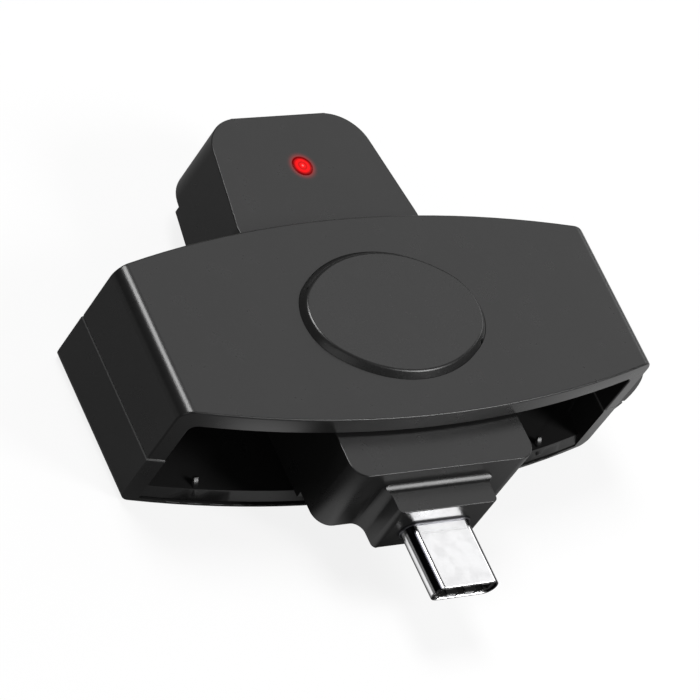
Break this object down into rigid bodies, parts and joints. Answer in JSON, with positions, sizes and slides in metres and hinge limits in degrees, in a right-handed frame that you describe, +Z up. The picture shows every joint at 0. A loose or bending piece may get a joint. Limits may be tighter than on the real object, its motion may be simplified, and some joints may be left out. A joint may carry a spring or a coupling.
{
  "type": "smart card reader",
  "caption": "Pocket smart card reader: a flat sleeve takes the card, and a stem with a lamp and a reversible plug swivels in it to stow the plug.",
  "frame": {"origin": "centre of the sleeve's underside, on the swivel axis", "axes": "+X along the sleeve towards the end with the thumb bump, +Y towards the lamp end where the card goes in, +Z up through the pad"},
  "size_m": [0.0613, 0.0558, 0.0162],
  "materials": {
    "sleeve_plastic": "fine satin mould texture, black",
    "pad_plastic": "fine satin, black",
    "stem_plastic": "fine satin mould texture, black",
    "spring_steel": "rolled strip",
    "screw_steel": "zinc plated",
    "lens_red": "clear red, lit from behind",
    "led_white": "moulded lamp body",
    "board_green": "green solder mask",
    "chip_black": "moulded resin",
    "can_steel": "pressed can",
    "ceramic_tan": "fired ceramic",
    "block_black": "glass-filled moulding",
    "contact_gold": "gold plated",
    "plug_steel": "bright nickel plate",
    "collar_steel": "matt nickel plate"
  },
  "bodies": {
    "sleeve": {"sleeve_top": "sleeve_plastic", "sleeve_bottom": "sleeve_plastic", "pivot_pad": "pad_plastic"},
    "stem": {"pivot_washer": "spring_steel", "pivot_screw": "screw_steel", "stem_housing": "stem_plastic", "stem_base": "stem_plastic", "base_screws": "screw_steel", "status_lens": "lens_red", "status_led": "led_white", "circuit_board": "board_green", "controller_chip": "chip_black", "supply_chip": "chip_black", "crystal": "can_steel", "small_parts": "ceramic_tan", "contact_block": "block_black", "card_contacts": "contact_gold", "card_switch": "chip_black", "switch_lever": "contact_gold", "plug_shell": "plug_steel", "plug_insulator": "block_black", "plug_contacts_top": "contact_gold", "plug_contacts_bottom": "contact_gold", "plug_springs": "plug_steel", "plug_collar": "collar_steel"}
  },
  "joints": [
    {"name": "stem_swivel", "type": "hinge", "parent": "sleeve", "child": "stem", "pos_m": [0, 0, 0.0138], "axis": [0, 0, 1], "range_deg": [0, 90]}
  ]
}
